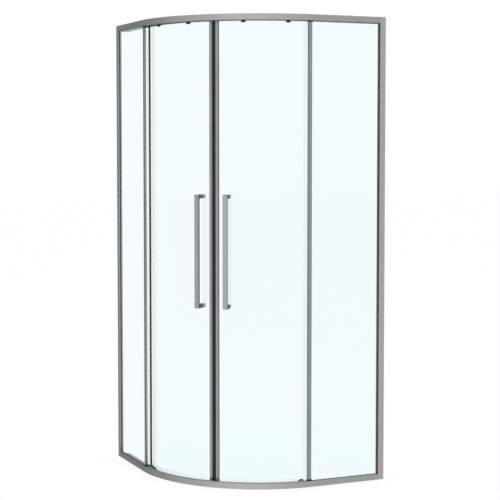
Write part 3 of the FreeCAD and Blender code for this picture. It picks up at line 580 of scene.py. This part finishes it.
satin_trim = drawn_metal("satin_aluminium_trim", trim_dark, trim_light, upright_lines, satin_sheen)
dress(satin_trim, "fixed_edge_strip_right", "fixed_edge_strip_left")
black_plastic = moulded("black_moulding", black_dark, black_light, sheen=(0.38, 0.52), grain=1100.0)
strip_along, strip_inset, strip_up = limits_of("fixed_edge_strip_right")
block_along = widened(strip_along, block_overhang)
block_inset = widened(strip_inset, block_lip)
glass_room = widened(fixed_inset, fit)
glass_room_end = fixed_along[1] + fit
block_plan = [
    (block_along[0], block_inset[0], crisp),
    (block_along[1], block_inset[0], block_corner),
    (block_along[1], block_inset[1], block_corner),
    (block_along[0], block_inset[1], crisp),
    (block_along[0], glass_room[1], crisp),
    (glass_room_end, glass_room[1], 0),
    (glass_room_end, glass_room[0], 0),
    (block_along[0], glass_room[0], crisp),
]
block_up = (rail_height, strip_up[0])
plug_along = (block_along[1] - plug_length, block_along[1])
plug_plan = box_corners(plug_along, (lip + plug_room, pocket_back - fit))
plug_up = (rail_height - plug_depth, rail_height - hairline)
block_shells = []
for side, left in sides:
    for plan, span, ease in ((block_plan, block_up, soft), (plug_plan, plug_up, crisp)):
        along, inset, depth = slab(plan, span, ease)
        for place in ("bottom", "top"):
            block_shells.append(by_wall(along, inset, rail_level(place, depth), left))
end_blocks = raw_object("edge_strip_end_blocks", block_shells)
fitted(end_blocks, black_plastic, "frame", "black_plastic", "strip_end_blocks")

# Clear seals: soft PVC extrusions, one glued behind each edge strip and one before each door's rear
# profile. Their fins lean towards each other and keep water from running through the gap.
seal_top_gap = 17 * mm
seal_skin = 1.2 * mm
seal_base = 5.5 * mm
seal_tip = 0.55 * mm
fin_lean = 2.6 * mm
fin_play = 0.8 * mm
profile_skin = 2.5 * mm
pvc_dark = (0.86, 0.89, 0.90)
pvc_light = (0.92, 0.95, 0.96)
pvc_constants = {"Alpha": 0.08}
clear_pvc = moulded(
    "clear_pvc", pvc_dark, pvc_light, sheen=(0.2, 0.3), grain=300.0, constants=pvc_constants
)
door_inset = (door_plane - sheet_thick / 2, door_plane + sheet_thick / 2)
profile_inset = widened(door_inset, profile_skin)
seal_up = (strip_up[0] + fit, rail_underside - seal_top_gap)
strip_back = strip_inset[1]
seal_root = strip_back + seal_skin
fixed_fin = strip_along[0] + seal_skin
fixed_fin_tip = profile_inset[0] - seal_skin - fin_play
fixed_seal_plan = [
    (fixed_fin, strip_back, crisp),
    (fixed_fin + seal_base, strip_back, crisp),
    (fixed_fin + seal_base, seal_root, seal_tip),
    (fixed_fin + seal_skin, seal_root, soft),
    (fixed_fin + seal_skin - fin_lean, fixed_fin_tip, seal_tip),
    (fixed_fin - fin_lean, fixed_fin_tip, seal_tip),
    (fixed_fin, seal_root, crisp),
]
for side, left in sides:
    rings = by_wall(*slab(fixed_seal_plan, seal_up), left)
    fin = raw_object("fixed_seal_fin_" + side, [rings])
    fitted(fin, clear_pvc, "frame", "clear_seal", "fixed_edge_seal_" + side)

# Door stops: black plastic T blocks that rest on both shelves of the track, where the rollers end
# their run. Each is pushed in from the rail's end before the rail is screwed up.
stop_length = 16 * mm
stop_tall = 16 * mm
stop_corner = 2 * mm
stop_start = half_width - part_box("door_stops")[1].x
stop_inset = widened((web_back, inner_face), -slide)
stop_tongue = widened((slot_front, slot_back), -slide)
track_floor = rail_underside + wall
stop_section = [
    (stop_inset[0], track_floor, crisp),
    (stop_tongue[0], track_floor, 0),
    (stop_tongue[0], rail_underside, crisp),
    (stop_tongue[1], rail_underside, crisp),
    (stop_tongue[1], track_floor, 0),
    (stop_inset[1], track_floor, crisp),
    (stop_inset[1], track_floor + stop_tall, stop_corner),
    (stop_inset[0], track_floor + stop_tall, stop_corner),
]
stop_shells = []
for side, left in sides:
    inset, upward, along = slab(stop_section, (stop_start, stop_start + stop_length), soft)
    stop_shells.append(by_wall(along, inset, upward, left))
fitted(raw_object("track_stops", stop_shells), black_plastic, "frame", "black_plastic", "door_stops")

# Door glass: toughened sheets bent to the bend's radius, with ground edges. Two holes near the
# leading edge take the bushes of the handle's screws.
door_bottom = 11 * mm
door_top_gap = 4 * mm
rear_web = 2.5 * mm
front_web = 4 * mm
magnet_width = 8 * mm
handle_bottom = 744 * mm
handle_length = 470 * mm
handle_foot = 16 * mm
handle_turn = math.radians(38.5)
meeting = math.radians(45)
bush_radius = 5 * mm
drill_over = 5.5 * mm
door_rings = 62
round_points = 9
door_radius = bend_radius - door_plane
door_up = (door_bottom, rail_underside - door_top_gap)
door_ends = (rear_web / door_radius, meeting - (magnet_width + front_web) / door_radius)
handle_up = (handle_bottom, handle_bottom + handle_length)
foot_heights = (handle_up[0] + handle_foot / 2, handle_up[1] - handle_foot / 2)


def bore(piece, holes):
    """Cut holes through a piece: each is a shell of rings that stands for the drill."""
    for rings in holes:
        drill = raw_object("drill", [rings])
        piece.modifiers.new("bore", "BOOLEAN").object = drill
        cut = piece.evaluated_get(bpy.context.evaluated_depsgraph_get())
        shape = bpy.data.meshes.new_from_object(cut)
        piece.modifiers.clear()
        piece.data = shape
        bpy.data.objects.remove(drill)


door_section = box_corners(door_inset, door_up, arris)
door_stations = np.linspace(*door_ends, door_rings)[1:-1]
round_hole = box_corners((-bush_radius, bush_radius), (-bush_radius, bush_radius), bush_radius)
drill_inset = widened(door_inset, drill_over)
for side, left in sides:
    inset, upward, turn = slab(door_section, door_ends, between=door_stations)
    sheet = raw_object("door_pane_" + side, [on_front(0, inset, upward, turn, left)])
    holes = []
    for foot in foot_heights:
        along, upward, inset = slab(round_hole, drill_inset, steps=round_points)
        holes.append(on_front(along, inset, foot + upward, handle_turn, left))
    bore(sheet, holes)
    from_axis = np.hypot(*(vertices_of(sheet)[:, :2] - bend_axis).T)
    mark_rim(sheet, bend_radius - from_axis, door_inset)
    fitted(sheet, glass, "door_" + side, "clear_glass", "door_glass_" + side)

# Rear door profiles: narrow U sections bonded to the doors' rear edges, which hide behind the fixed
# panels.
# They take the black moulding finish, which is painted shade: it makes them as dark as they look in the
# shadow behind the fixed panels. A clear seal fin is glued to the outer face of each.
rear_width = 7.5 * mm
rear_corner = 0.8 * mm
door_fin_tip = 17 * mm
# Painted shade: the black moulding darkens the rear profiles as they look in the shadow behind the
# fixed panels.
dress(black_plastic, "door_trailing_profile_right", "door_trailing_profile_left")
rear_turn = rear_width / 2 / door_radius
rear_face = profile_inset[0]
door_fin = rear_corner - rear_width / 2
door_seal_plan = [
    (door_fin, rear_face, crisp),
    (door_fin + seal_base, rear_face, crisp),
    (door_fin + seal_base, rear_face - seal_skin, seal_tip),
    (door_fin + seal_skin, rear_face - seal_skin, soft),
    (door_fin + seal_skin, door_fin_tip, seal_tip),
    (door_fin, door_fin_tip, seal_tip),
]
for side, left in sides:
    rings = on_front(*slab(door_seal_plan, seal_up), rear_turn, left)
    fin = raw_object("door_seal_fin_" + side, [rings])
    fitted(fin, clear_pvc, "door_" + side, "clear_seal", "door_trailing_seal_" + side)

# Front door profiles: satin aluminium sections bonded to the edges where the doors meet. A black
# magnetic seal slides into the groove of each and pulls the doors together.
profile_top_gap = 1.5 * mm
front_proud = 4.5 * mm
meeting_gap = 0.2 * mm
magnet_setback = 0.4 * mm
magnet_nose = 1.3 * mm
waist_start = 1.2 * mm
waist_end = 2 * mm
waist_depth = 0.7 * mm
groove_mouth = 0.8 * mm
groove_depth = 2.4 * mm
groove_narrow = 3 * mm
groove_wide = 5 * mm
seal_dark = (0.008, 0.008, 0.009)
seal_light = (0.017, 0.017, 0.018)
seal_constants = {"Specular IOR Level": 0.3}
dress(satin_trim, "door_leading_profile_right", "door_leading_profile_left")
black_seal = moulded(
    "black_seal", seal_dark, seal_light, sheen=(0.34, 0.46), grain=500.0, constants=seal_constants
)
magnet_root = -magnet_width
magnet_face = -meeting_gap
magnet_front = door_inset[0] - front_proud + magnet_setback
magnet_rear = profile_inset[1] - magnet_setback
waist = (magnet_root + waist_start, magnet_root + waist_end)
waist_middle = sum(waist) / 2
neck_end = magnet_root - groove_mouth - fit
tongue_end = magnet_root - groove_depth + fit
neck = groove_narrow / 2 - fit
tongue = groove_wide / 2 - fit
magnet_plan = [
    (magnet_root, magnet_front, crisp),
    (waist[0], magnet_front, crisp),
    (waist_middle, magnet_front + waist_depth, crisp),
    (waist[1], magnet_front, crisp),
    (magnet_face, magnet_front, magnet_nose),
    (magnet_face, magnet_rear, magnet_nose),
    (waist[1], magnet_rear, crisp),
    (waist_middle, magnet_rear - waist_depth, crisp),
    (waist[0], magnet_rear, crisp),
    (magnet_root, magnet_rear, crisp),
    (magnet_root, door_plane + neck, 0),
    (neck_end, door_plane + neck, 0),
    (neck_end, door_plane + tongue, 0),
    (tongue_end, door_plane + tongue, 0),
    (tongue_end, door_plane - tongue, 0),
    (neck_end, door_plane - tongue, 0),
    (neck_end, door_plane - neck, 0),
    (magnet_root, door_plane - neck, 0),
]
profile_up = (door_bottom, rail_underside - profile_top_gap)
for side, left in sides:
    rings = on_front(*slab(magnet_plan, profile_up, hairline), meeting, left)
    seal = raw_object("magnetic_seal_" + side, [rings])
    fitted(seal, black_seal, "door_" + side, "black_seal", "door_magnet_seal_" + side)

# Handles: square D bars plated in satin nickel, brushed lengthwise and softly broken at every edge.
# Screws from inside hold them through nylon washers and bushes in the glass, under matching pads.
handle_reach = 43 * mm
handle_bar = 10 * mm
handle_half = 10 * mm
washer = 1.2 * mm
outer_corner = 1.8 * mm
inner_corner = 1.2 * mm
handle_ease = 0.7 * mm
nickel_dark = (0.345, 0.345, 0.347)
nickel_light = (0.40, 0.40, 0.402)
nickel_lines = (900.0, 900.0, 14.0)
nylon_dark = (0.70, 0.70, 0.68)
nylon_light = (0.80, 0.80, 0.78)
nylon_constants = {"Subsurface Weight": 0.08, "Subsurface Scale": 1.5 * mm}
nickel = drawn_metal("satin_nickel", nickel_dark, nickel_light, nickel_lines, sheen=(0.24, 0.36))
nylon = moulded(
    "white_nylon", nylon_dark, nylon_light, sheen=(0.38, 0.5), grain=600.0, constants=nylon_constants
)
bar_front = door_inset[0] - handle_reach
bar_back = bar_front + handle_bar
foot_end = door_inset[0] - washer
finger_room = widened(handle_up, -handle_foot)
bar_section = [
    (foot_end, handle_up[0], 0),
    (bar_front, handle_up[0], outer_corner),
    (bar_front, handle_up[1], outer_corner),
    (foot_end, handle_up[1], 0),
    (foot_end, finger_room[1], 0),
    (bar_back, finger_room[1], inner_corner),
    (bar_back, finger_room[0], inner_corner),
    (foot_end, finger_room[0], 0),
]
for side, left in sides:
    inset, upward, along = slab(bar_section, (-handle_half, handle_half), handle_ease)
    bar = raw_object("handle_bar_" + side, [on_front(along, inset, upward, handle_turn, left)])
    fitted(bar, nickel, "door_" + side, "satin_nickel", "handle_" + side)
    dress(nylon, "handle_washers_" + side)
    dress(nickel, "handle_inner_pads_" + side)

# Handle screws: turned stainless screws with a hexagon socket, sunk in the inner pads. They pass
# through the bushes in the glass and pull each handle's feet against it.
pad_thick = 10 * mm
head_height = 4 * mm
head_radius = 4.2 * mm
shank_radius = 2.5 * mm
screw_thread = 14 * mm
head_break = 0.4 * mm
hexagon_half = 2 * mm
hexagon_depth = 2.3 * mm
screw_points = 48
pad_face = door_inset[1] + washer + pad_thick
screw_face = pad_face - slide
head_seat = pad_face - head_height
hexagon_floor = screw_face - hexagon_depth
screw_tip = foot_end + washer - screw_thread
swing = np.linspace(0, 2 * math.pi, screw_points, endpoint=False)
flats = hexagon_half / np.cos(np.mod(swing, math.pi / 3) - math.pi / 6)
whole = np.ones_like(swing)
screw_rings = (
    (0 * whole, hexagon_floor),
    (flats, hexagon_floor),
    (flats, screw_face),
    ((head_radius - head_break) * whole, screw_face),
    (head_radius * whole, screw_face - head_break),
    (head_radius * whole, head_seat),
    (shank_radius * whole, head_seat),
    (shank_radius * whole, screw_tip + head_break),
    ((shank_radius - head_break) * whole, screw_tip),
    (0 * whole, screw_tip),
)
screw_radius = np.array([radius for radius, depth in screw_rings])
screw_depth = np.array([depth for radius, depth in screw_rings])[:, None]
for side, left in sides:
    shells = []
    for foot in foot_heights:
        upward = foot + screw_radius * np.sin(swing)
        shells.append(on_front(screw_radius * np.cos(swing), screw_depth, upward, handle_turn, left))
    screws = raw_object("handle_socket_screws_" + side, shells)
    fitted(screws, steel, "door_" + side, "fastener_steel", "handle_screws_" + side)

# Roller hangers: black plastic mouldings clipped over the top edge of each door, with a stem that
# rises through the track's slot to a steel axle.
hanger_turns = np.radians((10.5, 31.2))
hanger_length = 18 * mm
hanger_drop = 4 * mm
clip_skin = 2.4 * mm
clip_corner = 1.4 * mm
stem_half = 6 * mm
stem_thick = 4 * mm
stem_ease = 0.5 * mm
wheel_radius = 10 * mm
running_gap = 0.2 * mm
clip_inset = widened(door_inset, clip_skin)
clip_room = widened(door_inset, fit)
hanger_up = (profile_up[1], door_up[1] + fit, door_up[1] - hanger_drop)
axle_up = track_floor + running_gap + wheel_radius


def edge_clip(turn, length, span, levels, left):
    """A clip over the edge of a curved door: a U section carried round the door's bend for its
    length. Levels are the heights of its closed side, of the floor of its slot and of its open side."""
    closed, floor, mouth = levels
    section = [
        (span[0], closed, clip_corner),
        (span[1], closed, clip_corner),
        (span[1], mouth, crisp),
        (clip_room[1], mouth, crisp),
        (clip_room[1], floor, 0),
        (clip_room[0], floor, 0),
        (clip_room[0], mouth, crisp),
        (span[0], mouth, crisp),
    ]
    inset, upward, run = slab(section, (-length / 2, length / 2), soft, between=(0.0,))
    return on_front(0, inset, upward, turn + run / door_radius, left)


stem_bottom = hanger_up[0] - crisp
stem_top = axle_up + stem_half
stem_outline = [
    (-stem_half, stem_bottom, 0),
    (stem_half, stem_bottom, 0),
    (stem_half, stem_top, stem_half),
    (-stem_half, stem_top, stem_half),
]
stem_inset = (door_plane - stem_thick / 2, door_plane + stem_thick / 2)
for side, left in sides:
    shells = []
    for turn in hanger_turns:
        shells.append(edge_clip(turn, hanger_length, clip_inset, hanger_up, left))
        along, upward, inset = slab(stem_outline, stem_inset, stem_ease, steps=round_points)
        shells.append(on_front(along, inset, upward, turn, left))
    hangers = raw_object("door_hangers_" + side, shells)
    fitted(hangers, black_plastic, "door_" + side, "black_plastic", "roller_hangers_" + side)
    dress(steel, "roller_axles_" + side)

# Top rollers: twin nylon wheels on each hanger's axle, turned with a dished outer face and a softly
# crowned tread that runs on the track's two shelves.
wheel_offset = 9.8 * mm
wheel_width = 4 * mm
hub_radius = 4 * mm
axle_radius = 2 * mm
bore_play = 0.05 * mm
wheel_rim = 2 * mm
hub_rim = 0.6 * mm
dish = 0.9 * mm
dish_slope = 0.6 * mm
wheel_points = 72
bore_radius = axle_radius + bore_play
wheel_near = wheel_offset - wheel_width / 2
wheel_far = wheel_offset + wheel_width / 2
hub_near = stem_thick / 2 + running_gap
wheel_section = [
    (hub_near, bore_radius, 0),
    (hub_near, hub_radius, crisp),
    (wheel_near, hub_radius, 0),
    (wheel_near, wheel_radius, soft),
    (wheel_far, wheel_radius, soft),
    (wheel_far, wheel_radius - wheel_rim, crisp),
    (wheel_far - dish, wheel_radius - wheel_rim - dish_slope, crisp),
    (wheel_far - dish, hub_radius + hub_rim + dish_slope, crisp),
    (wheel_far, hub_radius + hub_rim, crisp),
    (wheel_far, bore_radius, 0),
]


def spun(section, inset, upward, turn, left, facing=1):
    """Rings of a wheel: a section of (offset along the axle, radius) carried once round the axle."""
    offset, radius = outline(section).T
    swing = np.linspace(0, 2 * math.pi, wheel_points, endpoint=False)[:, None]
    level = upward + radius * np.sin(swing)
    return on_front(radius * np.cos(swing), inset + facing * offset, level, turn, left)


for side, left in sides:
    for place, turn in zip(("trailing", "leading"), hanger_turns):
        shells = [spun(wheel_section, door_plane, axle_up, turn, left, facing) for facing in (-1, 1)]
        wheels = raw_object(f"{place}_wheels_{side}", shells, looped=True)
        body = f"{side}_{place}_roller"
        fitted(wheels, nylon, body, "white_nylon", f"top_roller_{place}_{side}")

# Bottom rollers: a black rubber tyre on a dished nylon hub, which rolls in the gutter on a steel pin.
# The pin is pressed into a black plastic shoe clipped to the door's lower edge.
foot_turn = math.radians(4.2)
foot_inset = 28.5 * mm
foot_lift = 0.4 * mm
tyre_radius = 14 * mm
tyre_half = 3 * mm
tyre_corner = 1.3 * mm
foot_hub_radius = 10 * mm
shoe_length = 22 * mm
shoe_top = 22 * mm
foot_axle_up = wall + foot_lift + tyre_radius
shoe_up = (door_bottom - clip_skin, door_bottom - fit, shoe_top)
tyre_section = [
    (-tyre_half, foot_hub_radius, 0),
    (tyre_half, foot_hub_radius, 0),
    (tyre_half, tyre_radius, tyre_corner),
    (-tyre_half, tyre_radius, tyre_corner),
]
hub_face = [
    (tyre_half, foot_hub_radius - hairline, crisp),
    (tyre_half, foot_hub_radius - soft, crisp),
    (tyre_half - dish, foot_hub_radius - 2 * soft, crisp),
    (tyre_half - dish, hub_radius, crisp),
    (tyre_half, hub_radius - soft, crisp),
    (tyre_half, bore_radius, 0),
]
hub_section = hub_face + [(-offset, radius, corner) for offset, radius, corner in hub_face[::-1]]
tyre_rubber = moulded("tyre_rubber", seal_dark, seal_light, sheen=(0.5, 0.65), grain=900.0)
for side, left in sides:
    body = side + "_bottom_roller"
    rings = spun(tyre_section, foot_inset, foot_axle_up, foot_turn, left)
    tyre = raw_object("roller_tyre_" + side, [rings], looped=True)
    fitted(tyre, tyre_rubber, body, "roller_tyre", "bottom_roller_tyre_" + side)
    rings = spun(hub_section, foot_inset, foot_axle_up, foot_turn, left)
    hub = raw_object("roller_hub_" + side, [rings], looped=True)
    fitted(hub, nylon, body, "white_nylon", "bottom_roller_hub_" + side)
    rings = edge_clip(foot_turn, shoe_length, clip_inset, shoe_up, left)
    shoe = raw_object("roller_shoe_" + side, [rings])
    fitted(shoe, black_plastic, "door_" + side, "black_plastic", "bottom_roller_shoe_" + side)
    dress(steel, "bottom_roller_pin_" + side)

# Guide shoes: low black plastic sliders clipped under the doors' leading corners, which keep the glass
# in the gutter as it runs.
guide_turn = math.radians(41.2)
guide_length = 20 * mm
guide_skin = 2 * mm
guide_lift = 0.6 * mm
guide_top = 14 * mm
guide_inset = widened(door_inset, guide_skin)
guide_up = (wall + guide_lift, door_bottom - fit, guide_top)
for side, left in sides:
    rings = edge_clip(guide_turn, guide_length, guide_inset, guide_up, left)
    guide = raw_object("guide_slider_" + side, [rings])
    fitted(guide, black_plastic, "door_" + side, "black_plastic", "bottom_guide_shoe_" + side)

# Floor: a wide white sheet just under the enclosure. It glows to the eye and through the glass, so
# that it joins the white surround, and still keeps a faint shadow.
floor_half = 30.0
floor_drop = 0.2 * mm
floor_glow = 0.8
white = (1.0, 1.0, 1.0, 1.0)
floor_grey = (0.95, 0.95, 0.95, 1.0)
scene = bpy.context.scene
floor_mesh = bpy.data.meshes.new("floor")
floor_square = box_corners((-floor_half, floor_half), (-floor_half, floor_half))
floor_mesh.from_pydata([(x, y, -floor_drop) for x, y, corner in floor_square], [], [(0, 1, 2, 3)])
floor = bpy.data.objects.new("floor", floor_mesh)
scene.collection.objects.link(floor)
floor.visible_glossy = False
floor_white = bpy.data.materials.new("floor_white")
floor_white.use_nodes = True
matt = add_node(floor_white, "BsdfDiffuse", {"Color": floor_grey}).outputs["BSDF"]
glow = add_node(floor_white, "Emission", {"Color": white, "Strength": 1.0}).outputs["Emission"]
path = add_node(floor_white, "LightPath", {}).outputs
seen = worked_out(floor_white, "MAXIMUM", path["Is Camera Ray"], path["Is Transmission Ray"])
share = worked_out(floor_white, "MULTIPLY", seen, floor_glow)
paint = add_node(floor_white, "MixShader", {0: share, 1: matt, 2: glow}).outputs["Shader"]
feed(floor_white, floor_white.node_tree.nodes["Material Output"], {"Surface": paint})
floor_mesh.materials.append(floor_white)

# Surround: a studio that is white to the eye and in the glass. In the satin metal's reflections it
# greys from the bright side, where the light comes from, to the far side.
bright_side = (-0.549, -0.836, 0.0)
surround_stops = ((0.0, 0.2), (0.22, 0.32), (0.5, 0.47), (0.78, 0.73), (0.9, 0.78), (1.0, 1.0))
surround_level = 1.25
scene.view_settings.view_transform = "Standard"
surround = bpy.data.worlds.new("surround")
surround.use_nodes = True
scene.world = surround
heading = add_node(surround, "TexCoord", {}).outputs["Generated"]
towards = add_node(surround, "VectorMath", {0: heading, 1: bright_side}, operation="DOT_PRODUCT")
whole_turn = {"Value": towards.outputs["Value"], "From Min": -1.0, "From Max": 1.0}
facing = add_node(surround, "MapRange", whole_turn).outputs["Result"]
ramp = add_node(surround, "ValToRGB", {"Fac": facing})
while len(ramp.color_ramp.elements) < len(surround_stops):
    ramp.color_ramp.elements.new(1.0)
for stop, (position, grey) in zip(ramp.color_ramp.elements, surround_stops):
    stop.position = position
    stop.color = (grey, grey, grey, 1.0)
grading = {"Color": ramp.outputs["Color"], "Strength": surround_level}
graded = add_node(surround, "Background", grading).outputs["Background"]
plain = add_node(surround, "Background", {"Color": white, "Strength": 1.0}).outputs["Background"]
path = add_node(surround, "LightPath", {}).outputs
satin_rays = (path["Is Glossy Ray"], path["Is Singular Ray"])
satin = worked_out(surround, "SUBTRACT", *satin_rays, use_clamp=True)
sky = add_node(surround, "MixShader", {0: satin, 1: plain, 2: graded}).outputs["Shader"]
feed(surround, surround.node_tree.nodes["World Output"], {"Surface": sky})

# Lamps: two large soft panels, a stronger one on the left and a weaker one on the right, both aimed
# at the middle of the enclosure and kept out of the reflections.
lamp_size = 2.4
lamp_aim = Vector((0.0, 0.0, 0.95))
key_place = (-4.2, -2.6, 3.2)
key_power = 40.0
fill_place = (3.4, -4.6, 2.6)
fill_power = 15.0
for name, place, power in (("key_lamp", key_place, key_power), ("fill_lamp", fill_place, fill_power)):
    lamp = bpy.data.lights.new(name, "AREA")
    lamp.energy = power
    lamp.size = lamp_size
    holder = bpy.data.objects.new(name, lamp)
    holder.location = place
    holder.rotation_euler = (holder.location - lamp_aim).to_track_quat("Z", "Y").to_euler()
    holder.visible_glossy = False
    holder.visible_transmission = False
    scene.collection.objects.link(holder)

# Camera: at eye height, left of the corner's middle line, with a long lens that looks slightly down.
# A small shift centres the enclosure in the frame.
camera_lens = 101.25
camera_shift = -0.0476
camera_place = (-2.4709, -5.6123, 1.4247)
camera_dip = math.radians(3.371)
camera_heading = math.radians(-23.92)
camera = bpy.data.objects.new("camera", bpy.data.cameras.new("camera"))
camera.data.lens = camera_lens
camera.data.shift_y = camera_shift
camera.location = camera_place
camera.rotation_euler = (math.pi / 2 - camera_dip, 0.0, camera_heading)
scene.collection.objects.link(camera)
scene.camera = camera
